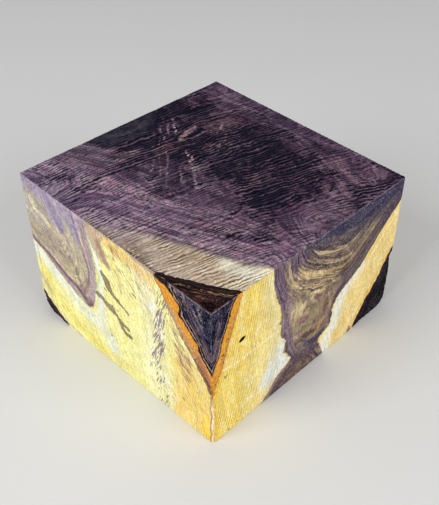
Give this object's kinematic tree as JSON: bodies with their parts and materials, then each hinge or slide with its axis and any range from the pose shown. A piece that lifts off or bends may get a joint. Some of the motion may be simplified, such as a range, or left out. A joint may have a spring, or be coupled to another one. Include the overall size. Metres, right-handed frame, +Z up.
{
  "type": "wood turning blank",
  "caption": "Square rough-sawn block of figured crotch walnut for turning a bowl, with a slightly sloped top and bark grown on at three corners.",
  "frame": {"origin": "middle of the block's bounding box in plan, at the height of its flat bottom face", "axes": "+Z up. +X runs from the front corner, which has bark at its top, to the right corner. +Y runs from the front corner to the left corner."},
  "size_m": [0.206, 0.2, 0.138],
  "materials": {
    "walnut": "rough band-sawn, unfinished"
  },
  "bodies": {
    "root": {"turning_blank": "walnut"}
  },
  "joints": []
}
